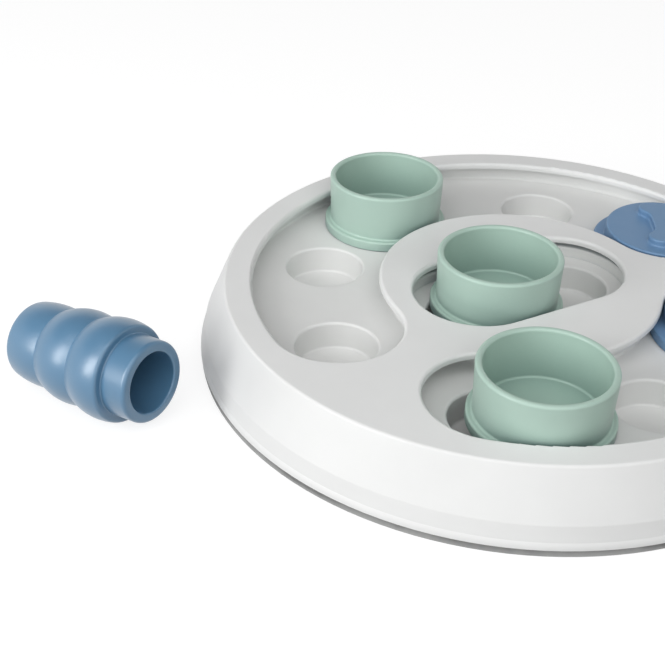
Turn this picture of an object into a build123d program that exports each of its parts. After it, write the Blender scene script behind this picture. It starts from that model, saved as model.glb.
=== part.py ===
"""Sliding-cup puzzle feeder for dogs: a round two-shell board, three cups, two lids and a loose snack roll.

The base tray holds a ring channel and a short centre channel, both with treat wells in their floors.
The top cover traps the flanges of the cups and lids in the channels, so they slide but don't lift out.
Origin: the board's axis at table height. +Z is up, and the owner stands on the -Y side.
"""
import os
from math import asin, atan2, cos, degrees, hypot, radians, sin, tan

from build123d import *

# ---------------------------------------------------------------- heights of the board (mm)
board_height = 33.4            # table to the cover's flat top
channel_depth = 10.9           # the cover's flat top to the channel floors
foot_stand_out = 0.4           # how far the rubber feet lift the shells off the table
shell_wall = 2.2               # wall of the base tray
island_rise = 5.0              # plateau between the two channels, above their floors

# ---------------------------------------------------------------- sliding pieces
slider_radius = 27.0           # lids, and cups at the rim
opening_play = 0.7             # between a slider and the edge of its slot in the cover
channel_play = 1.0             # side play of a flange in its channel
slide_gap = 0.1                # running gap between a sliding piece and the channel floor
flange_height = 4.6
flange_edge_round = 0.9
cup_flange_width = 1.9         # beyond the slider radius
cup_stand_out = 15.4           # rim above the cover
cup_draft = 0.7                # how much narrower a cup is at its foot than at its rim
cup_wall = 2.8
cup_floor_height = 4.1         # foot to the inside floor
cup_floor_wall = 2.2
cup_floor_round = 1.0
cup_rim_round = 1.2
lid_flange_width = 5.2         # beyond the slider radius
lid_stand_out = 0.4            # disc above the cover
lid_wall = 2.2
lid_edge_round = 0.8
grip_height = 3.3              # of the bone-shaped grip, above the disc
grip_half_length = 14.4        # disc centre to the knobs, along the bone
grip_half_spread = 4.8         # bone axis to the knobs
grip_knob_radius = 5.3
grip_waist = 5.7               # half the width of the bone's shaft
grip_blend = 9.0
grip_notch_round = 1.6
grip_edge_round = 0.9          # at its foot too, where it blends into the disc
grip_turn = 54.1               # from a lid's radius line to the bone's axis, in degrees

# ---------------------------------------------------------------- channels and wells, seen from above
track_radius = 89.3            # centreline of the ring channel
channel_web = 3.6              # between the ring channel and the ends of the centre channel
centre_track_angle = 39.5      # direction of the centre channel, from +X
first_well_angle = 44.2        # the ring well under the back lid
well_pitch = 43.2              # degrees from one ring well to the next
back_well_count = 5
front_well_count = 3
well_radius = 17.4
well_draft = 0.5               # how much narrower a well is at its floor
well_depth = 12.2
well_floor_wall = 2.0
well_rim_round = 1.2
well_floor_round = 1.0
centre_well_offset = 5.1       # of the centre wells, beyond the end positions of the centre cup
channel_floor_round = 1.2
island_edge_round = 1.0
rib_thickness = 1.8
rib_depth = 6.0                # of the ribs under the ring floor

# ---------------------------------------------------------------- where the sliding pieces rest
back_cup_angle = 140.0
front_cup_angle = -80.95
centre_cup_offset = -11.9      # along the centre channel, from the axis

# ---------------------------------------------------------------- top cover
cover_thickness = 2.8
cover_skirt_wall = 2.4
cover_gap = 0.3                # the tray's flange stays this far inside the cover's lip
parting_height = 3.4           # the cover's lip rests on the tray's flange here
top_margin = 4.5               # flat top beyond the tray's wall
top_edge_round = 1.5
skirt_flare = 8.6              # how far the skirt leans out on its way down
skirt_foot_height = 12.9       # where it turns into the steeper band
skirt_crease_round = 3.0
band_flare = 1.4               # how far the band leans out
band_foot_height = 6.4         # where it meets the lip
lip_reach = 0.8                # from the band's foot to the lip's edge
opening_edge_round = 1.5

# ---------------------------------------------------------------- feet and screws
foot_count = 6
foot_radius = 6.0
foot_recess_depth = 1.0
foot_recess_play = 0.2
foot_edge_round = 0.4
rim_screw_count = 6
screw_radius = 1.45
screw_hole_play = 0.25
screw_pilot_play = 0.05
screw_head_radius = 2.9
screw_head_height = 1.9
screw_head_play = 0.3
screw_head_round = 0.6
rim_screw_length = 12.0
island_screw_length = 6.0
screw_seat_radius = 4.5        # bosses of the tray that the rim screws pull on
screw_seat_rise = 3.0          # of those bosses, above the tray's flange
screw_seat_overlap = 0.4       # how deep they stand in the tray's wall
screw_web = 2.4                # wall of such a boss above the screw's head
cover_boss_radius = 3.4
cover_boss_length = 19.0

# ---------------------------------------------------------------- snack roll
roll_bearing = 211.7           # direction of the roll from the board's axis
roll_distance = 33.8           # from the board's edge to the front of the roll's last rib
roll_heading = -23.4           # plan direction of the mouth, from +X
roll_stations = (-54.2, -36.5, -17.7, 0.0)   # rear end, two creases and front end, along the roll
roll_station_radii = (16.0, 17.2, 18.8, 20.2)
roll_rib_radii = (17.6, 19.9, 21.2)          # the three ribs at their fullest
roll_end_round = 2.0
roll_front_round = 1.2
roll_neck_length = 12.0
roll_neck_radius = 17.1
roll_neck_foot_round = 0.6
roll_mouth_radius = 17.0
roll_mouth_round = 1.8
roll_bore_radius = 12.7
roll_bore_round = 0.8
roll_rear_wall = 3.6

# ---------------------------------------------------------------- how closely edges and corners are looked for
reading_play = 0.01

# ---------------------------------------------------------------- worked out from the sizes above
floor_height = board_height - channel_depth
floor_underside = floor_height - shell_wall
island_top = floor_height + island_rise
cover_underside = board_height - cover_thickness
well_bottom = floor_height - well_depth
piece_foot = floor_height + slide_gap
cup_height = board_height + cup_stand_out - piece_foot
lid_height = board_height + lid_stand_out - piece_foot
opening_half_width = slider_radius + opening_play
cup_flange_radius = slider_radius + cup_flange_width
cup_base_radius = slider_radius - cup_draft
lid_flange_radius = slider_radius + lid_flange_width
ring_channel_half_width = lid_flange_radius + channel_play
centre_channel_half_width = cup_flange_radius + channel_play
ring_outer_radius = track_radius + ring_channel_half_width
ring_inner_radius = track_radius - ring_channel_half_width
centre_track_reach = ring_inner_radius - channel_web - centre_channel_half_width
centre_well_reach = centre_track_reach + centre_well_offset
tray_wall_radius = ring_outer_radius + shell_wall
top_radius = tray_wall_radius + top_margin
skirt_foot_radius = top_radius + skirt_flare
band_foot_radius = skirt_foot_radius + band_flare
board_radius = band_foot_radius + lip_reach
tray_rim_radius = board_radius - cover_gap
skirt_lean = atan2(skirt_flare, board_height - skirt_foot_height)

bridge_pitch = (360 - (back_well_count + front_well_count - 2) * well_pitch) / 2
back_track_span = (back_well_count - 1) * well_pitch
front_track_span = (front_well_count - 1) * well_pitch
front_track_start = first_well_angle + back_track_span + bridge_pitch
back_well_angles = [first_well_angle + n * well_pitch for n in range(back_well_count)]
front_well_angles = [front_track_start + n * well_pitch for n in range(front_well_count)]
right_lid_angle = front_well_angles[-1]

screw_seat_height = parting_height + screw_seat_rise
rim_head_seat = screw_seat_height - screw_web
island_head_seat = island_top - shell_wall
screw_circle_radius = tray_wall_radius + screw_seat_radius - screw_seat_overlap
island_screw_reach = (centre_channel_half_width + ring_inner_radius) / 2
foot_circle_radius = (tray_wall_radius + tray_rim_radius) / 2


def polar(radius, angle):
    """Point in the XY plane at a radius and an angle in degrees from +X."""
    return (radius * cos(radians(angle)), radius * sin(radians(angle)))


def upright(centre, height):
    """Vertical plane through a point: its x runs along +X and its y along +Z."""
    return Plane(origin=(centre[0], centre[1], height), x_dir=(1, 0, 0), z_dir=(0, -1, 0))


def corner(sketch, x, y):
    """The sketch's vertex nearest to a point."""
    return sketch.vertices().sort_by_distance((x, y))[0]


def skirt_radius(height):
    """Outside radius of the straight skirt at a height."""
    return top_radius + (board_height - height) * tan(skirt_lean)


well_centres = [polar(track_radius, angle) for angle in back_well_angles + front_well_angles]
well_centres += [polar(centre_well_reach, centre_track_angle + turn) for turn in (0, 180)]
rib_angles = [angle + well_pitch / 2 for angle in back_well_angles[:-1] + front_well_angles[:-1]]
rib_angles += [back_well_angles[-1] + bridge_pitch / 2, front_well_angles[-1] + bridge_pitch / 2]
foot_angles = [(n + 0.5) * 360 / foot_count for n in range(foot_count)]
rim_screw_angles = [n * 360 / rim_screw_count for n in range(rim_screw_count)]
island_screw_angles = [centre_track_angle + 90, centre_track_angle - 90]
rim_screw_centres = [polar(screw_circle_radius, angle) for angle in rim_screw_angles]
island_screw_centres = [polar(island_screw_reach, angle) for angle in island_screw_angles]

os.makedirs("parts", exist_ok=True)


def write(piece, label):
    """Name a finished piece and write its STEP file."""
    piece.label = label
    export_step(piece, "parts/" + label + ".step")


# ---------------------------------------------------------------- base tray
with BuildPart() as base_tray:
    with BuildSketch(upright((0, 0), 0)) as tray_profile:
        with BuildLine():
            Polyline(
                (0, island_head_seat),
                (ring_inner_radius - shell_wall, island_head_seat),
                (ring_inner_radius - shell_wall, floor_underside - rib_depth),
                (ring_inner_radius, floor_underside - rib_depth),
                (ring_inner_radius, floor_underside),
                (ring_outer_radius, floor_underside),
                (ring_outer_radius, foot_stand_out),
                (tray_rim_radius, foot_stand_out),
                (tray_rim_radius, parting_height),
                (tray_wall_radius, parting_height),
                (tray_wall_radius, cover_underside),
                (ring_outer_radius, cover_underside),
                (ring_outer_radius, floor_height),
                (ring_inner_radius, floor_height),
                (ring_inner_radius, island_top),
                (0, island_top),
                close=True,
            )
        make_face()
        fillet(corner(tray_profile, ring_outer_radius, floor_height), channel_floor_round)
        fillet(corner(tray_profile, ring_inner_radius, floor_height), channel_floor_round)
        fillet(corner(tray_profile, ring_inner_radius, island_top), island_edge_round)
    revolve(axis=Axis.Z)

    # The centre channel: a walled pocket let into the island.
    with BuildSketch(Plane.XY.offset(floor_underside)):
        SlotCenterToCenter(
            2 * centre_track_reach, 2 * (centre_channel_half_width + shell_wall), rotation=centre_track_angle
        )
    extrude(amount=island_top - floor_underside)
    with BuildSketch(Plane.XY.offset(floor_height)):
        SlotCenterToCenter(2 * centre_track_reach, 2 * centre_channel_half_width, rotation=centre_track_angle)
    extrude(amount=island_top - floor_height, mode=Mode.SUBTRACT)
    pocket_edges = base_tray.edges(Select.LAST)
    fillet(pocket_edges.group_by(Axis.Z)[-1], island_edge_round)

    # Ribs under the ring floor, one between each two wells.
    with BuildSketch(Plane.XY.offset(floor_underside - rib_depth)):
        for angle in rib_angles:
            with Locations(Location((*polar(track_radius, angle), 0), (0, 0, angle))):
                Rectangle(ring_outer_radius - ring_inner_radius + shell_wall, rib_thickness)
    extrude(amount=rib_depth + shell_wall / 2)

    # Treat wells: thin tapered pots that hang under the channel floors.
    well_taper = degrees(atan2(well_draft, well_depth))
    for centre in well_centres:
        with BuildSketch(Plane.XY.offset(floor_height - shell_wall / 2)):
            with Locations(centre):
                Circle(well_radius + shell_wall)
        extrude(amount=-(well_depth + well_floor_wall - shell_wall / 2), taper=well_taper)
    with BuildSketch(Plane.XY.offset(floor_height)):
        with Locations(*well_centres):
            Circle(well_radius)
    extrude(amount=-well_depth, taper=well_taper, mode=Mode.SUBTRACT)
    well_edges = base_tray.edges(Select.LAST).filter_by(GeomType.CIRCLE)
    fillet(well_edges.group_by(Axis.Z)[-1], well_rim_round)
    floor_edges = base_tray.edges().filter_by(GeomType.CIRCLE).filter_by_position(
        Axis.Z, well_bottom - reading_play, well_bottom + reading_play
    )
    fillet(floor_edges, well_floor_round)

    # Seats for the rim screws, with the heads let in from below.
    with BuildSketch(Plane.XY.offset(foot_stand_out)):
        with Locations(*rim_screw_centres):
            Circle(screw_seat_radius)
    extrude(amount=screw_seat_height - foot_stand_out)
    with BuildSketch(Plane.XY.offset(foot_stand_out)):
        with Locations(*rim_screw_centres):
            Circle(screw_head_radius + screw_head_play)
    extrude(amount=rim_head_seat - foot_stand_out, mode=Mode.SUBTRACT)
    with BuildSketch(Plane.XY.offset(foot_stand_out)):
        with Locations(*rim_screw_centres):
            Circle(screw_radius + screw_hole_play)
    extrude(amount=screw_seat_height - foot_stand_out, mode=Mode.SUBTRACT)
    with BuildSketch(Plane.XY.offset(island_head_seat)):
        with Locations(*island_screw_centres):
            Circle(screw_radius + screw_hole_play)
    extrude(amount=shell_wall, mode=Mode.SUBTRACT)

    # Recesses for the rubber feet.
    with BuildSketch(Plane.XY.offset(foot_stand_out)):
        with Locations(*[polar(foot_circle_radius, angle) for angle in foot_angles]):
            Circle(foot_radius + foot_recess_play)
    extrude(amount=foot_recess_depth, mode=Mode.SUBTRACT)
write(base_tray.part, "base_tray")

# ---------------------------------------------------------------- top cover
with BuildPart() as top_cover:
    skirt_thickness = cover_skirt_wall / cos(skirt_lean)
    with BuildSketch(upright((0, 0), 0)) as cover_profile:
        with BuildLine():
            Polyline(
                (skirt_foot_radius, skirt_foot_height),
                (top_radius, board_height),
                (0, board_height),
                (0, cover_underside),
                (skirt_radius(cover_underside) - skirt_thickness, cover_underside),
                (skirt_foot_radius - skirt_thickness, skirt_foot_height),
                (band_foot_radius - skirt_thickness, band_foot_height),
                (band_foot_radius - skirt_thickness, parting_height),
                (board_radius, parting_height),
            )
            TangentArc((board_radius, parting_height), (band_foot_radius, band_foot_height), tangent=(0, 1))
            Line((band_foot_radius, band_foot_height), (skirt_foot_radius, skirt_foot_height))
        make_face()
        fillet(corner(cover_profile, top_radius, board_height), top_edge_round)
        fillet(corner(cover_profile, skirt_foot_radius, skirt_foot_height), skirt_crease_round)
    revolve(axis=Axis.Z)

    # Bosses for the screws: at the rim they stand on the tray's seats, at the island on its plateau.
    with BuildSketch(Plane.XY.offset(screw_seat_height)):
        with Locations(*rim_screw_centres):
            Circle(cover_boss_radius)
    extrude(amount=cover_boss_length)
    with BuildSketch(Plane.XY.offset(island_top)):
        with Locations(*island_screw_centres):
            Circle(cover_boss_radius)
    extrude(amount=cover_underside - island_top + cover_thickness / 2)
    with BuildSketch(Plane.XY.offset(screw_seat_height)):
        with Locations(*rim_screw_centres):
            Circle(screw_radius + screw_pilot_play)
    extrude(amount=rim_head_seat + rim_screw_length - screw_seat_height, mode=Mode.SUBTRACT)
    with BuildSketch(Plane.XY.offset(island_top)):
        with Locations(*island_screw_centres):
            Circle(screw_radius + screw_pilot_play)
    extrude(amount=island_head_seat + island_screw_length - island_top, mode=Mode.SUBTRACT)

    # Slots for the cups and lids: two round the ring, with a bridge at each end, and one in the island.
    with BuildSketch(Plane.XY.offset(cover_underside)):
        for start, span in ((first_well_angle, back_track_span), (front_track_start, front_track_span)):
            SlotArc(CenterArc((0, 0), track_radius, start, span), 2 * opening_half_width)
        SlotCenterToCenter(2 * centre_track_reach, 2 * opening_half_width, rotation=centre_track_angle)
    extrude(amount=cover_thickness, mode=Mode.SUBTRACT)
    slot_edges = top_cover.edges(Select.LAST)
    fillet(slot_edges.group_by(Axis.Z)[-1], opening_edge_round)
write(top_cover.part, "top_cover")


# ---------------------------------------------------------------- cups
def make_cup(centre):
    """Open drum with a flange at its foot and a shallow recess under its floor."""
    inner_foot = cup_base_radius - cup_wall
    recess_height = cup_floor_height - cup_floor_wall
    with BuildPart() as cup:
        with BuildSketch(upright(centre, piece_foot)) as profile:
            with BuildLine():
                Polyline(
                    (0, recess_height),
                    (inner_foot, recess_height),
                    (inner_foot, 0),
                    (cup_flange_radius, 0),
                    (cup_flange_radius, flange_height),
                    (cup_base_radius, flange_height),
                    (slider_radius, cup_height),
                    (slider_radius - cup_wall, cup_height),
                    (inner_foot, cup_floor_height),
                    (0, cup_floor_height),
                    close=True,
                )
            make_face()
            fillet(corner(profile, cup_flange_radius, flange_height), flange_edge_round)
            fillet(corner(profile, cup_flange_radius, 0), flange_edge_round / 2)
            fillet(corner(profile, cup_base_radius, flange_height), flange_edge_round)
            fillet(corner(profile, slider_radius, cup_height), cup_rim_round)
            fillet(corner(profile, slider_radius - cup_wall, cup_height), cup_rim_round)
            fillet(corner(profile, inner_foot, cup_floor_height), cup_floor_round)
        revolve(axis=Axis((*centre, 0), (0, 0, 1)))
    return cup.part


write(make_cup(polar(track_radius, back_cup_angle)), "back_cup")
write(make_cup(polar(track_radius, front_cup_angle)), "front_cup")
write(make_cup(polar(centre_cup_offset, centre_track_angle)), "centre_cup")


# ---------------------------------------------------------------- lids
def make_lid(centre, grip_angle):
    """Hat-shaped lid, hollow below, with a wide flange at its foot and a bone-shaped grip on its disc."""
    inner_radius = slider_radius - lid_wall
    disc_top = piece_foot + lid_height
    grip_plane = Plane(
        origin=(*centre, disc_top), x_dir=(cos(radians(grip_angle)), sin(radians(grip_angle)), 0), z_dir=(0, 0, 1)
    )
    with BuildPart() as lid:
        with BuildSketch(upright(centre, piece_foot)) as profile:
            with BuildLine():
                Polyline(
                    (0, lid_height - lid_wall),
                    (inner_radius, lid_height - lid_wall),
                    (inner_radius, flange_height - lid_wall),
                    (lid_flange_radius - lid_wall, flange_height - lid_wall),
                    (lid_flange_radius - lid_wall, 0),
                    (lid_flange_radius, 0),
                    (lid_flange_radius, flange_height),
                    (slider_radius, flange_height),
                    (slider_radius, lid_height),
                    (0, lid_height),
                    close=True,
                )
            make_face()
            fillet(corner(profile, lid_flange_radius, flange_height), flange_edge_round)
            fillet(corner(profile, lid_flange_radius, 0), flange_edge_round / 2)
            fillet(corner(profile, slider_radius, flange_height), flange_edge_round)
            fillet(corner(profile, slider_radius, lid_height), lid_edge_round)
        revolve(axis=Axis((*centre, 0), (0, 0, 1)))
        with BuildSketch(grip_plane) as grip:
            Rectangle(2 * grip_half_length, 2 * grip_waist)
            with GridLocations(2 * grip_half_length, 2 * grip_half_spread, 2, 2):
                Circle(grip_knob_radius)
            waist_corners = grip.vertices().filter_by(lambda point: abs(point.X) < grip_half_length - reading_play)
            fillet(waist_corners, grip_blend)
            end_notches = grip.vertices().filter_by(lambda point: abs(point.Y) < reading_play)
            fillet(end_notches, grip_notch_round)
        extrude(amount=grip_height)
        grip_edges = lid.edges(Select.LAST).group_by(Axis.Z)
        fillet(grip_edges[0] + grip_edges[-1], grip_edge_round)
    return lid.part


write(make_lid(polar(track_radius, first_well_angle), first_well_angle + grip_turn), "back_bone_lid")
write(make_lid(polar(track_radius, right_lid_angle), right_lid_angle + grip_turn), "right_bone_lid")


# ---------------------------------------------------------------- snack roll
def rib_circle(start, top, end):
    """Centre and radius of the circle through three points of a rib's profile."""
    arc = ThreePointArc(start, top, end)
    return arc.arc_center, arc.radius


roll_points = list(zip(roll_stations, roll_station_radii))
rib_tops = [
    ((start + end) / 2, radius) for start, end, radius in zip(roll_stations, roll_stations[1:], roll_rib_radii)
]
# The roll lies on its two front ribs, so its axis leans and the mouth end is a little higher.
middle_centre, middle_round = rib_circle(roll_points[1], rib_tops[1], roll_points[2])
front_centre, front_round = rib_circle(roll_points[2], rib_tops[2], roll_points[3])
centre_line = front_centre - middle_centre
roll_lean = atan2(centre_line.Y, centre_line.X) + asin((front_round - middle_round) / centre_line.length)
roll_axis_height = front_round + front_centre.Y * cos(roll_lean) - front_centre.X * sin(roll_lean)
heading = radians(roll_heading)
roll_origin = (*polar(board_radius + roll_distance, roll_bearing), roll_axis_height)
roll_axis = (cos(heading) * cos(roll_lean), sin(heading) * cos(roll_lean), sin(roll_lean))
roll_plane = Plane(origin=roll_origin, x_dir=roll_axis, z_dir=(sin(heading), -cos(heading), 0))

with BuildPart() as snack_roll:
    rear_end = roll_points[0]
    front_end = roll_points[-1]
    neck_end = front_end[0] + roll_neck_length
    bore_end = rear_end[0] + roll_rear_wall
    with BuildSketch(roll_plane) as roll_profile:
        with BuildLine():
            for start, top, end in zip(roll_points, rib_tops, roll_points[1:]):
                ThreePointArc(start, top, end)
            Polyline(
                front_end,
                (front_end[0], roll_neck_radius),
                (neck_end, roll_mouth_radius),
                (neck_end, roll_bore_radius),
                (bore_end, roll_bore_radius),
                (bore_end, 0),
                (rear_end[0], 0),
                rear_end,
            )
        make_face()
        fillet(corner(roll_profile, *rear_end), roll_end_round)
        fillet(corner(roll_profile, *front_end), roll_front_round)
        fillet(corner(roll_profile, front_end[0], roll_neck_radius), roll_neck_foot_round)
        fillet(corner(roll_profile, neck_end, roll_mouth_radius), roll_mouth_round)
        fillet(corner(roll_profile, neck_end, roll_bore_radius), roll_bore_round)
        fillet(corner(roll_profile, bore_end, roll_bore_radius), roll_end_round)
    revolve(axis=Axis(roll_origin, roll_axis))
write(snack_roll.part, "snack_roll")

# ---------------------------------------------------------------- rubber feet
for n, angle in enumerate(foot_angles, start=1):
    with BuildPart() as rubber_foot:
        with BuildSketch(Plane(origin=(*polar(foot_circle_radius, angle), 0))):
            Circle(foot_radius)
        extrude(amount=foot_stand_out + foot_recess_depth)
        fillet(rubber_foot.edges().group_by(Axis.Z)[0], foot_edge_round)
    write(rubber_foot.part, f"rubber_foot_{n}")


# ---------------------------------------------------------------- screws
def make_screw(centre, head_seat, length):
    """Pan-head screw with its head below the seat and its shank upwards."""
    with BuildPart() as screw:
        with BuildSketch(upright(centre, head_seat)) as profile:
            with BuildLine():
                Polyline(
                    (0, -screw_head_height),
                    (screw_head_radius, -screw_head_height),
                    (screw_head_radius, 0),
                    (screw_radius, 0),
                    (screw_radius, length - screw_radius),
                    (0, length),
                    close=True,
                )
            make_face()
            fillet(corner(profile, screw_head_radius, -screw_head_height), screw_head_round)
        revolve(axis=Axis((*centre, 0), (0, 0, 1)))
    return screw.part


for n, centre in enumerate(rim_screw_centres, start=1):
    write(make_screw(centre, rim_head_seat, rim_screw_length), f"rim_screw_{n}")
for n, centre in enumerate(island_screw_centres, start=1):
    write(make_screw(centre, island_head_seat, island_screw_length), f"island_screw_{n}")
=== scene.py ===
"""Looks for a sliding puzzle feeder for dogs, dressed over its packed board, cups, lids and snack roll."""
from math import asin, atan2, cos, hypot, pi, radians, sin

import bpy
from mathutils import Euler, Matrix, Vector


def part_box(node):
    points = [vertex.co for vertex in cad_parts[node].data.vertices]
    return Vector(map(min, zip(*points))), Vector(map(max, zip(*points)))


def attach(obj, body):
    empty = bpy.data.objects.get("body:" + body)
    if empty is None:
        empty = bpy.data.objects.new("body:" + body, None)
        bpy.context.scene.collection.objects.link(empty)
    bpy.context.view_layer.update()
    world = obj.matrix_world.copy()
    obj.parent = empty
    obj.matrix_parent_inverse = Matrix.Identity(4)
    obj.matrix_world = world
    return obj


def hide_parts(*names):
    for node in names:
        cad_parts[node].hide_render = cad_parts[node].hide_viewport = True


bl_info = {
    "name": "Dog Puzzle Feeder",
    "version": (1, 0, 0),
    "blender": (4, 5, 0),
    "location": "3D View > Sidebar > Puzzle Feeder",
    "description": "Dresses the packed puzzle board, its cups and lids and the snack roll, and sets up a studio",
    "category": "Add Mesh",
}

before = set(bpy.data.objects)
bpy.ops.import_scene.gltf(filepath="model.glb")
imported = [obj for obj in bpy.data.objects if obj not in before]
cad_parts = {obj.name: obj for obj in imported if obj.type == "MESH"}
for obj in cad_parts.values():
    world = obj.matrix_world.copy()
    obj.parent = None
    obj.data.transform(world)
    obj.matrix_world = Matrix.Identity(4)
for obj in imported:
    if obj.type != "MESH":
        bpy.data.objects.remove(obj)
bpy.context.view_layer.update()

# Moulded plastic, all lengths in metres and all tones as shares of its colour.
CLOUD_SCALE, CLOUDING = 26.0, 0.04  # cloudy patches, and how far they sink
SMEAR_SCALE, SCUFFING = 90.0, 0.05  # wipe marks, and how far they turn its roughness
GRAIN_SCALE, GRAIN, GRAIN_STRENGTH = 1400.0, 0.00002, 0.35  # mould grain and its depth
SPECK_SPACING, SPECK_RADIUS, SPECKED_SHARE, SPECK_TONE = 0.016, 0.00032, 0.12, 0.45
CREASE_SHADE_TINT = (0.18, 0.25, 0.29)  # painted shade: the tint deep in a crease
CREASE_SHADE_RANGE, CREASE_SHADE_RAYS = (0.05, 0.6), 16  # how open a crease is, from full painted shade to none
EDGE_RANGE = (0.52, 0.62)  # how sharp an edge is, from clean to worn and paler, which is also a painted highlight
EDGE_WEAR_AND_HIGHLIGHT, EDGE_PALENESS = 0.35, 0.3
FOOT_SHADE_SCALE, FOOT_SHADE_TONES, FOOT_SHADE_FADE = 160.0, (0.16, 0.26), 0.0004  # painted shade at the tray's foot, a darker band below a height
COAT_ROUGHNESS = 0.3
# painted shade darkens the tray below this height
TRAY_FINISH = {"painted_shade_below": 0.0036}
TRAY_DULLER, CUP_GLOSSIER = 0.08, 0.04  # by how much their roughness differs from the cover's
# painted shade deep inside the cups, from walls up to this far away
CUP_FINISH = {"painted_crease_shade": 0.85, "depth": 0.04}
ROLL_FINISH = {"roughness": 0.335, "ior": 1.6, "painted_crease_shade": 0.0, "sheen": 0.5, "grain": 0.000006}

# Rubber and steel.
DUST_SCALE, DUST_TONE = 320.0, 1.8
PIT_SCALE, PIT_DEPTH, PIT_STRENGTH = 1800.0, 0.00005, 0.6
RUBBER_ROUGHNESS = (0.7, 0.85)
PATCH_SCALE, PLATING_DEPTH, PLATING_STRENGTH = 700.0, 0.00002, 0.4
PLATING_DARK, PLATING_PALE = (0.42, 0.43, 0.44, 1.0), (0.62, 0.62, 0.6, 1.0)
STEEL_ROUGHNESS = (0.28, 0.45)

# Shapes.
SHARP_FOLD = radians(38)  # an edge folded less than this is shaded smooth
WELD, CUT_WELD = 0.000001, 0.000005  # how near points are that become one
ROLL_STEPS, FOOT_STEPS, SCREW_STEPS = 160, 64, 40  # facets round a turned piece
ROLL_ROUNDS = {
    "rear": 0.002,
    "crease": 0.0003,
    "shoulder": 0.0012,
    "neck foot": 0.0006,
    "lip": 0.0018,
    "inner lip": 0.0009,
    "bore end": 0.0022,
}
HEAD_ROUND = 0.0007
RECESS_REACH = 1.1  # length of a recess arm, in head radii
TREE_SEEDS = {"feet": 3, "rim_screws": 5, "island_screws": 9}

# Studio.
FLOOR_REACH, FLOOR_GREY, FLOOR_GLOW = 6.0, 0.3, 0.8
BACKDROP, BACKDROP_SINES = (1.0, 0.25), (0.4, 0.56)  # its strength low down and overhead, and where it turns
WASH, WASH_SINES = (0.42, 0.15), (0.2, 0.45)  # the same for the light that the surroundings give
LIT_SPOT = (0.0, 0.0, 0.03)
SENSOR_WIDTH, NEAR_CLIP = 36.0, 0.01  # mm and metres
SOFT_BOXES = (
    # name, bearing and rise in degrees, distance, width, height, watts
    ("high box", -86, 50, 1.4, 2.3, 1.9, 20.6),
    ("low box", -141, 22, 1.2, 0.28, 0.66, 5.8),
)

CUPS = ("back_cup", "centre_cup", "front_cup")
LIDS = ("back_bone_lid", "right_bone_lid")
FEET = tuple(f"rubber_foot_{n}" for n in range(1, 7))
RIM_SCREWS = tuple(f"rim_screw_{n}" for n in range(1, 7))
ISLAND_SCREWS = ("island_screw_1", "island_screw_2")


# ---------------------------------------------------------------- settings
def colour(label, text, default):
    return bpy.props.FloatVectorProperty(
        name=label, description=text, default=default, size=3, min=0.0, max=1.0, subtype="COLOR"
    )


def length(label, text, default):
    return bpy.props.FloatProperty(name=label, description=text, default=default, unit="LENGTH", subtype="DISTANCE")


def angle(label, text, default):
    return bpy.props.FloatProperty(
        name=label, description=text, default=radians(default), unit="ROTATION", subtype="ANGLE"
    )


def share(label, text, default):
    return bpy.props.FloatProperty(name=label, description=text, default=default, min=0.0, max=1.0, subtype="FACTOR")


class BoardSettings(bpy.types.PropertyGroup):
    cover_colour: colour("Cover", "Plastic of the top cover", (0.80, 0.805, 0.80))
    tray_colour: colour("Tray", "Plastic of the base tray", (0.78, 0.785, 0.775))
    cup_colour: colour("Cups", "Plastic of the three cups", (0.435, 0.59, 0.515))
    lid_colour: colour("Lids", "Plastic of the two lids", (0.15, 0.277, 0.46))
    gloss: share("Roughness", "Roughness of the moulded plastics", 0.4)


class RollSettings(bpy.types.PropertyGroup):
    roll_colour: colour("Roll", "Plastic of the snack roll", (0.090, 0.212, 0.350))
    bearing: angle("Bearing", "Direction of the roll from the board's axis", 211.7)
    away: length("Distance", "From the board's axis to the front of the last rib", 0.1738)
    heading: angle("Heading", "Plan direction of the mouth, from +X", -23.4)
    ribs: bpy.props.FloatVectorProperty(
        name="Ribs", description="Fullest radius of each rib, from the rear", default=(0.0176, 0.0199, 0.0212),
        size=3, unit="LENGTH",
    )
    rib_lengths: bpy.props.FloatVectorProperty(
        name="Rib lengths", description="Length of each rib, from the rear", default=(0.0177, 0.0188, 0.0177),
        size=3, unit="LENGTH",
    )
    creases: bpy.props.FloatVectorProperty(
        name="Creases", description="Radius at the rear end, at the two creases and at the front end",
        default=(0.016, 0.0172, 0.0188, 0.0202), size=4, unit="LENGTH",
    )
    neck_length: length("Neck length", "From the last rib to the mouth", 0.012)
    neck_radius: length("Neck", "Radius of the neck at its foot", 0.0171)
    mouth_radius: length("Mouth", "Outer radius of the mouth", 0.017)
    bore_radius: length("Bore", "Radius of the hollow", 0.0127)
    rear_wall: length("Rear wall", "Wall behind the hollow", 0.0036)


class FittingSettings(bpy.types.PropertyGroup):
    foot_colour: colour("Feet", "Rubber of the feet", (0.16, 0.165, 0.17))
    foot_round: length("Foot edge", "Round of a foot's lower edge", 0.0005)
    head_height: length("Screw head", "Height of a screw's head", 0.0019)
    shank_radius: length("Screw shank", "Radius of a screw's shank", 0.00145)
    recess_width: length("Recess", "Width of one arm of the cross recess", 0.0007)
    recess_depth: length("Recess depth", "Depth of the cross recess", 0.0011)


class StageSettings(bpy.types.PropertyGroup):
    focal_length: bpy.props.FloatProperty(
        name="Focal length", description="Lens of the camera", default=65.942, min=10.0, max=300.0, unit="CAMERA"
    )
    camera_place: bpy.props.FloatVectorProperty(
        name="Camera", description="Where the camera stands", default=(0.0, -0.46837, 0.30164), size=3, unit="LENGTH",
        subtype="TRANSLATION",
    )
    camera_turn: angle("Turn", "Bearing of the camera's view to the left of +Y", 10.0091)
    camera_tilt: angle("Tilt", "How far the camera looks down", 32.9639)
    camera_roll: angle("Roll", "Turn of the camera about its own axis", 1.5089)


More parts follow.
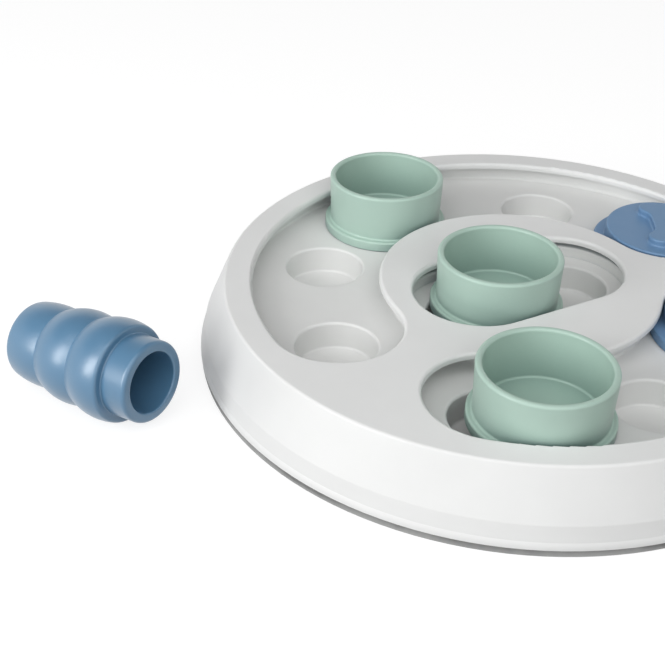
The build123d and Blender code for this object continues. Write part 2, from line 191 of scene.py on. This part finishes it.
# ---------------------------------------------------------------- materials
class Nodes:
    """Short hand for building a node tree from left to right."""

    def __init__(self, tree):
        self.tree = tree

    def link(self, source, target):
        self.tree.links.new(source, target)

    def add(self, kind, inputs=None, **settings):
        node = self.tree.nodes.new(kind)
        for key, value in settings.items():
            setattr(node, key, value)
        for key, value in (inputs or {}).items():
            if isinstance(value, bpy.types.NodeSocket):
                self.tree.links.new(value, node.inputs[key])
            else:
                node.inputs[key].default_value = value
        return node

    def math(self, operation, *values):
        return self.add("ShaderNodeMath", dict(enumerate(values)), operation=operation).outputs[0]


def rgba(value, scale=1.0):
    return (*(min(1.0, channel * scale) for channel in value), 1.0)


def empty_material(name):
    material = bpy.data.materials.new(name)
    material.use_nodes = True
    material.node_tree.nodes.clear()
    return material, Nodes(material.node_tree)


def ranged(nodes, source, low, high, from_low=0.3, from_high=0.7):
    """Number between low and high that follows a texture."""
    return nodes.add(
        "ShaderNodeMapRange",
        {"Value": source, "From Min": from_low, "From Max": from_high, "To Min": low, "To Max": high},
    ).outputs["Result"]


def blended(nodes, factor, first, second):
    """Colour between two by a factor."""
    return nodes.add(
        "ShaderNodeMix", {"Factor": factor, "A": first, "B": second}, data_type="RGBA"
    ).outputs["Result"]


def specks(nodes, place, spacing, radius, kept):
    """1 in small round specks strewn over a surface, one in each kept share of its cells."""
    cells = nodes.add("ShaderNodeTexVoronoi", {"Vector": place, "Scale": 1.0 / spacing})
    inside = ranged(nodes, cells.outputs["Distance"], 1.0, 0.0, 0.6 * radius / spacing, radius / spacing)
    draw = nodes.add("ShaderNodeSeparateColor", {"Color": cells.outputs["Color"]}).outputs["Red"]
    return nodes.math("MULTIPLY", inside, nodes.math("LESS_THAN", draw, kept))


def surfaced(nodes, inputs):
    """Shader and output at the end of a material."""
    surface = nodes.add("ShaderNodeBsdfPrincipled", inputs)
    nodes.add("ShaderNodeOutputMaterial", {"Surface": surface.outputs["BSDF"]})


def moulded_plastic(
    name, base, roughness, ior=1.48, painted_shade_below=0.0, painted_crease_shade=0.7, depth=0.006, sheen=0.0, grain=GRAIN
):
    """Injection-moulded plastic: cloudy tint, painted shade in creases, paler edges for wear that also paint a
    highlight, uneven gloss and fine mould grain.

    Below a given height it gets painted shade, a darker band at its foot. Creases, gaps between parts and hollows get
    painted shade by a given share, and depth is how far away their walls may be.
    """
    material, nodes = empty_material(name)
    place = nodes.add("ShaderNodeTexCoord").outputs["Object"]
    cloud = nodes.add(
        "ShaderNodeTexNoise", {"Vector": place, "Scale": CLOUD_SCALE, "Detail": 4.0, "Roughness": 0.55}
    )
    tint = blended(nodes, ranged(nodes, cloud.outputs["Fac"], 0.0, 1.0), rgba(base, 1.0 - CLOUDING), rgba(base))
    # Painted shade: a darker band below the given height stands in for shade at the table.
    if painted_shade_below:
        height = nodes.add("ShaderNodeSeparateXYZ", {"Vector": place}).outputs["Z"]
        wander = nodes.add("ShaderNodeTexNoise", {"Vector": place, "Scale": FOOT_SHADE_SCALE, "Detail": 3.0}).outputs["Fac"]
        foot_shade = blended(nodes, ranged(nodes, wander, 0.0, 1.0), *(rgba(base, tone) for tone in FOOT_SHADE_TONES))
        low = ranged(nodes, height, 1.0, 0.0, painted_shade_below - FOOT_SHADE_FADE, painted_shade_below)
        tint = blended(nodes, low, tint, foot_shade)
    strewn = specks(nodes, place, SPECK_SPACING, SPECK_RADIUS, SPECKED_SHARE)
    tint = blended(nodes, strewn, tint, rgba(base, SPECK_TONE))
    # Painted shade: ambient occlusion darkens creases, gaps between parts and the insides of hollows.
    if painted_crease_shade:
        shaded_tint = rgba([channel * left for channel, left in zip(base, CREASE_SHADE_TINT)])
        near = nodes.add("ShaderNodeAmbientOcclusion", {"Distance": depth}, samples=CREASE_SHADE_RAYS).outputs["AO"]
        tint = blended(nodes, ranged(nodes, near, painted_crease_shade, 0.0, *CREASE_SHADE_RANGE), tint, shaded_tint)
    # Paler edges: wear, and also a painted highlight along rims.
    edge = nodes.add("ShaderNodeNewGeometry").outputs["Pointiness"]
    wear_and_highlight = ranged(nodes, edge, 0.0, EDGE_WEAR_AND_HIGHLIGHT, *EDGE_RANGE)
    paler = rgba([channel + (1 - channel) * EDGE_PALENESS for channel in base])
    worn_and_lit = blended(nodes, wear_and_highlight, tint, paler)
    smear = nodes.add(
        "ShaderNodeTexNoise", {"Vector": place, "Scale": SMEAR_SCALE, "Detail": 5.0, "Roughness": 0.6}
    )
    gloss = ranged(nodes, smear.outputs["Fac"], roughness - SCUFFING, roughness + SCUFFING)
    texture = nodes.add("ShaderNodeTexNoise", {"Vector": place, "Scale": GRAIN_SCALE, "Detail": 2.0})
    bump = nodes.add(
        "ShaderNodeBump", {"Height": texture.outputs["Fac"], "Distance": grain, "Strength": GRAIN_STRENGTH}
    )
    surfaced(
        nodes,
        {
            "Base Color": worn_and_lit,
            "Roughness": gloss,
            "Normal": bump.outputs["Normal"],
            "IOR": ior,
            "Coat Weight": sheen,
            "Coat Roughness": COAT_ROUGHNESS,
        },
    )
    return material


def foot_rubber(name, base):
    """Soft rubber: dull, dusty and finely pitted."""
    material, nodes = empty_material(name)
    place = nodes.add("ShaderNodeTexCoord").outputs["Object"]
    dust = nodes.add("ShaderNodeTexNoise", {"Vector": place, "Scale": DUST_SCALE, "Detail": 5.0}).outputs["Fac"]
    pits = nodes.add("ShaderNodeTexVoronoi", {"Vector": place, "Scale": PIT_SCALE}).outputs["Distance"]
    bump = nodes.add("ShaderNodeBump", {"Height": pits, "Distance": PIT_DEPTH, "Strength": PIT_STRENGTH})
    surfaced(
        nodes,
        {
            "Base Color": blended(nodes, ranged(nodes, dust, 0.0, 0.5), rgba(base), rgba(base, DUST_TONE)),
            "Roughness": ranged(nodes, dust, *RUBBER_ROUGHNESS),
            "Normal": bump.outputs["Normal"],
        },
    )
    return material


def screw_steel(name):
    """Zinc-plated steel: patchy plating with a fine patchy bump."""
    material, nodes = empty_material(name)
    place = nodes.add("ShaderNodeTexCoord").outputs["Object"]
    patch = nodes.add("ShaderNodeTexNoise", {"Vector": place, "Scale": PATCH_SCALE, "Detail": 4.0}).outputs["Fac"]
    bump = nodes.add("ShaderNodeBump", {"Height": patch, "Distance": PLATING_DEPTH, "Strength": PLATING_STRENGTH})
    surfaced(
        nodes,
        {
            "Base Color": blended(nodes, ranged(nodes, patch, 0.0, 1.0), PLATING_DARK, PLATING_PALE),
            "Metallic": 1.0,
            "Roughness": ranged(nodes, patch, *STEEL_ROUGHNESS),
            "Normal": bump.outputs["Normal"],
        },
    )
    return material


def dress(node, material):
    """Give a carried-over node its finish."""
    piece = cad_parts[node]
    piece.data.materials.clear()
    piece.data.materials.append(material)


# ---------------------------------------------------------------- shapes
def ease(path, corner, reach, steps=8):
    """Path with one corner given way to a curve that begins and ends a reach away from it."""

    def leave(points):
        """Where a walk along the points has gone the reach, and the points beyond."""
        left = reach
        for n, (start, end) in enumerate(zip(points, points[1:])):
            step = (end - start).length
            if step > left:
                return start.lerp(end, left / step), points[n + 1 :]
            left -= step
        raise ValueError("a corner's reach is longer than the path")

    spot = path.index(corner)
    ahead, later = leave(path[spot:])
    behind, earlier = leave(path[spot::-1])
    shares = [n / steps for n in range(steps + 1)]
    curve = [behind.lerp(corner, share).lerp(corner.lerp(ahead, share), share) for share in shares]
    return earlier[::-1] + curve + later


def rib_circle(start, top, end):
    """Centre and radius of the circle through both ends of a rib and its fullest point midway."""
    along = (end - start).normalized()
    half = (end - start).length / 2
    middle = (start + end) / 2
    outward = Vector((-along.y, along.x))
    rise = (top - middle).dot(outward)
    radius = (half * half + rise * rise) / (2 * rise)
    return middle + outward * (rise - radius), radius


def rib_arc(start, top, end, steps=28):
    """Points of a rib's outline from start to end."""
    centre, radius = rib_circle(start, top, end)
    first = atan2(start.y - centre.y, start.x - centre.x)
    last = atan2(end.y - centre.y, end.x - centre.x)
    turns = [first + (last - first) * n / steps for n in range(steps + 1)]
    return [centre + Vector((cos(turn), sin(turn))) * radius for turn in turns]


def evenly(start, end, pace=0.0009):
    """Points from start to end, start left out, none much further apart than the pace."""
    count = max(1, round((end - start).length / pace))
    return [*(start.lerp(end, n / count) for n in range(1, count)), end]


def drawn(name, path):
    """Object that holds an outline: distance along the axis as its Z, radius as its X."""
    mesh = bpy.data.meshes.new(name)
    mesh.from_pydata(
        [(point.y, 0, point.x) for point in path], [(n, n + 1) for n in range(len(path) - 1)], []
    )
    piece = bpy.data.objects.new(name, mesh)
    bpy.context.scene.collection.objects.link(piece)
    return piece


def geometry_tree(name, inputs):
    """New geometry tree with named inputs, and the shorthand to fill it."""
    tree = bpy.data.node_groups.new(name, "GeometryNodeTree")
    tree.interface.new_socket(name="Geometry", in_out="OUTPUT", socket_type="NodeSocketGeometry")
    tree.interface.new_socket(name="Geometry", in_out="INPUT", socket_type="NodeSocketGeometry")
    for label, kind in inputs:
        tree.interface.new_socket(name=label, in_out="INPUT", socket_type="NodeSocket" + kind)
    return tree, Nodes(tree)


def turned_tree():
    """Tree that turns a drawn outline once round the Z axis and closes it."""
    tree, nodes = geometry_tree("turned piece", (("Steps", "Int"),))
    given = nodes.add("NodeGroupInput").outputs
    steps = given["Steps"]
    count = nodes.add("GeometryNodeAttributeDomainSize", {"Geometry": given["Geometry"]}).outputs["Point Count"]
    columns = nodes.math("ADD", steps, 1.0)
    grid = nodes.add("GeometryNodeMeshGrid", {"Vertices X": count, "Vertices Y": columns}).outputs["Mesh"]
    place = nodes.add("GeometryNodeInputIndex").outputs["Index"]
    row = nodes.math("FLOOR", nodes.math("DIVIDE", place, columns))
    column = nodes.math("MODULO", place, columns)
    turn = nodes.math("MULTIPLY", nodes.math("DIVIDE", column, steps), 2 * pi)
    sample = nodes.add(
        "GeometryNodeSampleIndex",
        {
            "Geometry": given["Geometry"],
            "Value": nodes.add("GeometryNodeInputPosition").outputs["Position"],
            "Index": row,
        },
        data_type="FLOAT_VECTOR",
    ).outputs["Value"]
    swung = nodes.add(
        "ShaderNodeVectorRotate", {"Vector": sample, "Angle": turn}, rotation_type="Z_AXIS"
    ).outputs["Vector"]
    skin = nodes.add("GeometryNodeSetPosition", {"Geometry": grid, "Position": swung}).outputs["Geometry"]
    skin = nodes.add("GeometryNodeMergeByDistance", {"Geometry": skin, "Distance": WELD}).outputs["Geometry"]
    nodes.add("NodeGroupOutput", {"Geometry": skin})
    return tree


def finished(nodes, skin, material):
    """Last nodes of a tree: real geometry, smooth but for its sharp edges, with its material."""
    skin = nodes.add("GeometryNodeRealizeInstances", {"Geometry": skin}).outputs["Geometry"]
    fold = nodes.add("GeometryNodeInputMeshEdgeAngle").outputs["Unsigned Angle"]
    soft = nodes.add("FunctionNodeCompare", {"A": fold, "B": SHARP_FOLD}, operation="LESS_THAN").outputs["Result"]
    skin = nodes.add("GeometryNodeSetShadeSmooth", {"Geometry": skin, "Shade Smooth": True}).outputs["Geometry"]
    skin = nodes.add(
        "GeometryNodeSetShadeSmooth", {"Geometry": skin, "Shade Smooth": soft}, domain="EDGE"
    ).outputs["Geometry"]
    skin = nodes.add("GeometryNodeSetMaterial", {"Geometry": skin, "Material": material}).outputs["Geometry"]
    nodes.add("NodeGroupOutput", {"Geometry": skin})


def roll_tree():
    """Tree of the snack roll: its outline turned, then leaned and laid on the table."""
    tree, nodes = geometry_tree(
        "snack roll",
        (("Steps", "Int"), ("Finish", "Material"), ("Place", "Vector"), ("Lay", "Rotation")),
    )
    given = nodes.add("NodeGroupInput").outputs
    body = nodes.add("GeometryNodeGroup", node_tree=turned_tree())
    nodes.link(given["Geometry"], body.inputs["Geometry"])
    nodes.link(given["Steps"], body.inputs["Steps"])
    laid = nodes.add(
        "GeometryNodeTransform",
        {"Geometry": body.outputs["Geometry"], "Translation": given["Place"], "Rotation": given["Lay"]},
    ).outputs["Geometry"]
    finished(nodes, laid, given["Finish"])
    return tree


def ring_tree(name, cut=False):
    """Tree of like pieces round the board's axis, each turned from one outline, some with a cross recess."""
    tree, nodes = geometry_tree(
        name,
        (
            ("Steps", "Int"),
            ("Finish", "Material"),
            ("Count", "Int"),
            ("Ring Radius", "Float"),
            ("First Angle", "Float"),
            ("Seed", "Int"),
            ("Recess Width", "Float"),
            ("Recess Depth", "Float"),
            ("Head Radius", "Float"),
            ("Foot Height", "Float"),
        ),
    )
    given = nodes.add("NodeGroupInput").outputs
    body = nodes.add("GeometryNodeGroup", node_tree=turned_tree())
    nodes.link(given["Geometry"], body.inputs["Geometry"])
    nodes.link(given["Steps"], body.inputs["Steps"])
    piece = body.outputs["Geometry"]
    if cut:
        arm = nodes.math("MULTIPLY", given["Head Radius"], RECESS_REACH)
        double = nodes.math("MULTIPLY", given["Recess Depth"], 2.0)
        arms = []
        for sizes in ((arm, given["Recess Width"], double), (given["Recess Width"], arm, double)):
            size = nodes.add("ShaderNodeCombineXYZ", dict(zip("XYZ", sizes))).outputs["Vector"]
            arms.append(nodes.add("GeometryNodeMeshCube", {"Size": size}).outputs["Mesh"])
        base = nodes.add("ShaderNodeCombineXYZ", {"Z": given["Foot Height"]}).outputs["Vector"]
        cross = nodes.add("GeometryNodeMeshBoolean", {"Mesh 2": arms[0]}, operation="UNION", solver="MANIFOLD")
        nodes.link(arms[1], cross.inputs["Mesh 2"])
        cutter = nodes.add(
            "GeometryNodeTransform", {"Geometry": cross.outputs["Mesh"], "Translation": base}
        ).outputs["Geometry"]
        piece = nodes.add(
            "GeometryNodeMeshBoolean", {"Mesh 1": piece, "Mesh 2": cutter}, solver="MANIFOLD"
        ).outputs["Mesh"]
        piece = nodes.add(
            "GeometryNodeMergeByDistance", {"Geometry": piece, "Distance": CUT_WELD}
        ).outputs["Geometry"]
    number = nodes.add("GeometryNodeInputIndex").outputs["Index"]
    turn = nodes.math("MULTIPLY_ADD", nodes.math("DIVIDE", number, given["Count"]), 2 * pi, given["First Angle"])
    spoke = nodes.add("ShaderNodeCombineXYZ", {"X": given["Ring Radius"]}).outputs["Vector"]
    spot = nodes.add("ShaderNodeVectorRotate", {"Vector": spoke, "Angle": turn}, rotation_type="Z_AXIS").outputs[0]
    points = nodes.add("GeometryNodePoints", {"Count": given["Count"], "Position": spot}).outputs[0]
    spin = nodes.add(
        "FunctionNodeRandomValue", {"Min": (0, 0, 0), "Max": (0, 0, 2 * pi), "Seed": given["Seed"]},
        data_type="FLOAT_VECTOR",
    ).outputs["Value"]
    placed = nodes.add(
        "GeometryNodeInstanceOnPoints", {"Points": points, "Instance": piece, "Rotation": spin}
    ).outputs["Instances"]
    finished(nodes, placed, given["Finish"])
    return tree


def grown(outline, tree, values):
    """Plain mesh object that a tree makes from an outline with the values of its named inputs."""
    modifier = outline.modifiers.new(tree.name, "NODES")
    modifier.node_group = tree
    for socket in tree.interface.items_tree:
        if socket.in_out == "INPUT" and socket.name in values:
            modifier[socket.identifier] = values[socket.name]
    evaluated = outline.evaluated_get(bpy.context.evaluated_depsgraph_get())
    mesh = bpy.data.meshes.new_from_object(evaluated)
    name = outline.name
    outline.modifiers.remove(modifier)
    bpy.data.objects.remove(outline)
    piece = bpy.data.objects.new(name, mesh)
    bpy.context.scene.collection.objects.link(piece)
    return piece


# ---------------------------------------------------------------- operators
class FEEDER_OT_board(bpy.types.Operator):
    """Finish the two shells of the board."""

    bl_idname = "feeder.board"
    bl_label = "Board"

    def execute(self, context):
        board = context.scene.feeder_board
        dress("top_cover", moulded_plastic("cover plastic", board.cover_colour, board.gloss))
        tray = moulded_plastic("tray plastic", board.tray_colour, board.gloss + TRAY_DULLER, **TRAY_FINISH)
        dress("base_tray", tray)
        return {"FINISHED"}


class FEEDER_OT_cups(bpy.types.Operator):
    """Finish the three cups."""

    bl_idname = "feeder.cups"
    bl_label = "Cups"

    def execute(self, context):
        board = context.scene.feeder_board
        plastic = moulded_plastic("cup plastic", board.cup_colour, board.gloss - CUP_GLOSSIER, **CUP_FINISH)
        for node in CUPS:
            dress(node, plastic)
        return {"FINISHED"}


class FEEDER_OT_lids(bpy.types.Operator):
    """Finish the two bone-grip lids."""

    bl_idname = "feeder.lids"
    bl_label = "Lids"

    def execute(self, context):
        board = context.scene.feeder_board
        plastic = moulded_plastic("lid plastic", board.lid_colour, board.gloss)
        for node in LIDS:
            dress(node, plastic)
        return {"FINISHED"}


class FEEDER_OT_roll(bpy.types.Operator):
    """Make the ribbed snack roll that lies beside the board."""

    bl_idname = "feeder.roll"
    bl_label = "Snack Roll"

    def execute(self, context):
        roll = context.scene.feeder_roll
        ends = [Vector((0, roll.creases[0]))]
        for extent, radius in zip(roll.rib_lengths, roll.creases[1:]):
            ends.append(Vector((ends[-1].x + extent, radius)))
        reach = ends[-1].x
        for point in ends:
            point.x -= reach
        tops = [Vector(((start.x + end.x) / 2, fullest)) for start, end, fullest in zip(ends, ends[1:], roll.ribs)]

        mouth = roll.neck_length
        bottom = ends[0].x + roll.rear_wall
        rear = ends[0]
        shoulder = ends[-1]
        neck_foot = Vector((0, roll.neck_radius))
        lip = Vector((mouth, roll.mouth_radius))
        inner_lip = Vector((mouth, roll.bore_radius))
        bore_end = Vector((bottom, roll.bore_radius))
        outline = [Vector((rear.x, 0)), *evenly(Vector((rear.x, 0)), rear)]
        for start, top, end in zip(ends, tops, ends[1:]):
            outline += rib_arc(start, top, end)[1:]
        outline[outline.index(shoulder, 1)] = shoulder
        for start, end in (
            (shoulder, neck_foot),
            (neck_foot, lip),
            (lip, inner_lip),
            (inner_lip, bore_end),
            (bore_end, Vector((bottom, 0))),
        ):
            outline += evenly(start, end)
        for corner, place in (
            (rear, "rear"),
            (ends[1], "crease"),
            (ends[2], "crease"),
            (shoulder, "shoulder"),
            (neck_foot, "neck foot"),
            (lip, "lip"),
            (inner_lip, "inner lip"),
            (bore_end, "bore end"),
        ):
            outline = ease(outline, corner, ROLL_ROUNDS[place])

        middle_centre, middle_radius = rib_circle(ends[1], tops[1], ends[2])
        front_centre, front_radius = rib_circle(ends[2], tops[2], ends[3])
        between = front_centre - middle_centre
        lean = atan2(between.y, between.x) + asin((front_radius - middle_radius) / between.length)
        height = front_radius + front_centre.y * cos(lean) - front_centre.x * sin(lean)
        place = (roll.away * cos(roll.bearing), roll.away * sin(roll.bearing), height)
        lay = Euler((0, pi / 2 - lean, roll.heading))
        values = {
            "Steps": ROLL_STEPS,
            "Finish": moulded_plastic("roll plastic", roll.roll_colour, **ROLL_FINISH),
            "Place": place,
            "Lay": lay,
        }
        piece = grown(drawn("ribbed_roll", outline), roll_tree(), values)
        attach(piece, "snack_roll")
        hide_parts("snack_roll")
        return {"FINISHED"}


class FEEDER_OT_feet(bpy.types.Operator):
    """Make the ring of rubber feet."""

    bl_idname = "feeder.feet"
    bl_label = "Feet"

    def execute(self, context):
        fittings = context.scene.feeder_fittings
        low, high = (Vector(end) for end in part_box(FEET[0]))
        centre = (low + high) / 2
        radius = (high.x - low.x) / 2
        rim = Vector((low.z, radius))
        outline = [
            Vector((low.z, 0)),
            Vector((low.z, radius / 2)),
            rim,
            Vector((high.z, radius)),
            Vector((high.z, 0)),
        ]
        values = {
            "Steps": FOOT_STEPS,
            "Finish": foot_rubber("foot rubber", fittings.foot_colour),
            "Count": len(FEET),
            "Ring Radius": hypot(centre.x, centre.y),
            "First Angle": atan2(centre.y, centre.x),
            "Seed": TREE_SEEDS["feet"],
        }
        outline = ease(outline, rim, fittings.foot_round)
        feet = grown(drawn("foot_ring", outline), ring_tree("ring of feet"), values)
        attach(feet, "board")
        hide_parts(*FEET)
        return {"FINISHED"}


class FEEDER_OT_screws(bpy.types.Operator):
    """Make the screws of the rim and of the island, with cross recesses in their heads."""

    bl_idname = "feeder.screws"
    bl_label = "Screws"

    def execute(self, context):
        fittings = context.scene.feeder_fittings
        steel = screw_steel("screw steel")
        for name, nodes in (("rim_screws", RIM_SCREWS), ("island_screws", ISLAND_SCREWS)):
            low, high = (Vector(end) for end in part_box(nodes[0]))
            centre = (low + high) / 2
            head = (high.x - low.x) / 2
            seat = low.z + fittings.head_height
            edge = Vector((low.z, head))
            shoulder = Vector((high.z - fittings.shank_radius, fittings.shank_radius))
            outline = [
                Vector((low.z, 0)),
                Vector((low.z, head / 2)),
                edge,
                Vector((seat, head)),
                Vector((seat, fittings.shank_radius)),
                shoulder,
                Vector((high.z, 0)),
            ]
            outline = ease(outline, edge, HEAD_ROUND)
            values = {
                "Steps": SCREW_STEPS,
                "Finish": steel,
                "Count": len(nodes),
                "Ring Radius": hypot(centre.x, centre.y),
                "First Angle": atan2(centre.y, centre.x),
                "Seed": TREE_SEEDS[name],
                "Recess Width": fittings.recess_width,
                "Recess Depth": fittings.recess_depth,
                "Head Radius": head,
                "Foot Height": low.z,
            }
            screws = grown(drawn(name, outline), ring_tree(name, cut=True), values)
            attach(screws, "board")
            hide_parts(*nodes)
        return {"FINISHED"}


def soft_light(name, target, bearing, rise, away, width, height, watts):
    """Soft box that faces its target from a bearing (from +X) and a rise above the table."""
    light = bpy.data.lights.new(name, "AREA")
    light.shape = "RECTANGLE"
    light.size = width
    light.size_y = height
    light.energy = watts
    lamp = bpy.data.objects.new(name, light)
    outward = Euler((0, -rise, bearing)).to_matrix() @ Vector((1, 0, 0))
    lamp.location = target + outward * away
    lamp.rotation_euler = (-outward).to_track_quat("-Z", "Y").to_euler()
    bpy.context.scene.collection.objects.link(lamp)
    return lamp


def seen_directly(nodes):
    """1 for the camera, for reflections and through clear things, and 0 for the light that falls on the object."""
    rays = nodes.add("ShaderNodeLightPath").outputs
    either = nodes.math("MAXIMUM", rays["Is Camera Ray"], rays["Is Glossy Ray"])
    return nodes.math("MAXIMUM", either, rays["Is Transmission Ray"])


class FEEDER_OT_stage(bpy.types.Operator):
    """Set up the floor, the soft boxes, the pale surroundings and the camera."""

    bl_idname = "feeder.stage"
    bl_label = "Studio"

    def execute(self, context):
        scene = context.scene
        stage = scene.feeder_stage
        scene.view_settings.view_transform = "Standard"

        mesh = bpy.data.meshes.new("floor")
        corners = ((-1, -1), (1, -1), (1, 1), (-1, 1))
        mesh.from_pydata([(x * FLOOR_REACH, y * FLOOR_REACH, 0) for x, y in corners], [], [(0, 1, 2, 3)])
        floor = bpy.data.objects.new("floor", mesh)
        scene.collection.objects.link(floor)
        material, nodes = empty_material("floor paper")
        matt = nodes.add("ShaderNodeBsdfDiffuse", {"Color": rgba((FLOOR_GREY,) * 3)})
        strength = nodes.math("MULTIPLY", seen_directly(nodes), FLOOR_GLOW)
        glow = nodes.add("ShaderNodeEmission", {"Color": (1, 1, 1, 1), "Strength": strength})
        both = nodes.add("ShaderNodeAddShader")
        nodes.link(matt.outputs[0], both.inputs[0])
        nodes.link(glow.outputs[0], both.inputs[1])
        nodes.add("ShaderNodeOutputMaterial", {"Surface": both.outputs[0]})
        mesh.materials.append(material)

        world = bpy.data.worlds.new("studio")
        scene.world = world
        world.use_nodes = True
        world.node_tree.nodes.clear()
        nodes = Nodes(world.node_tree)
        direction = nodes.add("ShaderNodeTexCoord").outputs["Generated"]
        rise = nodes.add("ShaderNodeSeparateXYZ", {"Vector": direction}).outputs["Z"]
        band = ranged(nodes, rise, *BACKDROP, *BACKDROP_SINES)
        wash = ranged(nodes, rise, *WASH, *WASH_SINES)
        ambient = nodes.add("ShaderNodeBackground", {"Color": (1, 1, 1, 1), "Strength": wash})
        behind = nodes.add("ShaderNodeBackground", {"Color": (1, 1, 1, 1), "Strength": band})
        mix = nodes.add("ShaderNodeMixShader", {"Fac": seen_directly(nodes)})
        nodes.link(ambient.outputs[0], mix.inputs[1])
        nodes.link(behind.outputs[0], mix.inputs[2])
        nodes.add("ShaderNodeOutputWorld", {"Surface": mix.outputs[0]})

        for name, bearing, rise, *rest in SOFT_BOXES:
            soft_light(name, Vector(LIT_SPOT), radians(bearing), radians(rise), *rest)

        camera = bpy.data.cameras.new("camera")
        camera.lens = stage.focal_length
        camera.sensor_width = SENSOR_WIDTH
        camera.clip_start = NEAR_CLIP
        holder = bpy.data.objects.new("camera", camera)
        scene.collection.objects.link(holder)
        turn, tilt, roll = stage.camera_turn, stage.camera_tilt, stage.camera_roll
        ahead = Vector((-sin(turn) * cos(tilt), cos(turn) * cos(tilt), -sin(tilt)))
        level = Vector((cos(turn), sin(turn), 0))
        upward = level.cross(ahead)
        side = cos(roll) * level + sin(roll) * upward
        top = -sin(roll) * level + cos(roll) * upward
        pose = Matrix((side, top, -ahead)).transposed().to_4x4()
        pose.translation = stage.camera_place
        holder.matrix_world = pose
        scene.camera = holder
        return {"FINISHED"}


STEPS = (
    FEEDER_OT_board,
    FEEDER_OT_cups,
    FEEDER_OT_lids,
    FEEDER_OT_roll,
    FEEDER_OT_feet,
    FEEDER_OT_screws,
    FEEDER_OT_stage,
)


class FEEDER_PT_panel(bpy.types.Panel):
    """Steps that dress the feeder, in order."""

    bl_idname = "FEEDER_PT_panel"
    bl_label = "Puzzle Feeder"
    bl_space_type = "VIEW_3D"
    bl_region_type = "UI"
    bl_category = "Puzzle Feeder"

    def draw(self, context):
        for group in (getattr(context.scene, name) for name in SETTINGS):
            box = self.layout.box()
            for name in group.__annotations__:
                box.prop(group, name)
        for step in STEPS:
            self.layout.operator(step.bl_idname)


SETTINGS = {
    "feeder_board": BoardSettings,
    "feeder_roll": RollSettings,
    "feeder_fittings": FittingSettings,
    "feeder_stage": StageSettings,
}
CLASSES = (*SETTINGS.values(), *STEPS, FEEDER_PT_panel)


def register():
    for cls in CLASSES:
        bpy.utils.register_class(cls)
    for name, group in SETTINGS.items():
        setattr(bpy.types.Scene, name, bpy.props.PointerProperty(type=group))


def unregister():
    for name in reversed(SETTINGS):
        delattr(bpy.types.Scene, name)
    for cls in reversed(CLASSES):
        bpy.utils.unregister_class(cls)


def main():
    register()
    for step in STEPS:
        family, action = step.bl_idname.split(".")
        getattr(getattr(bpy.ops, family), action)()


if __name__ == "__main__":
    main()
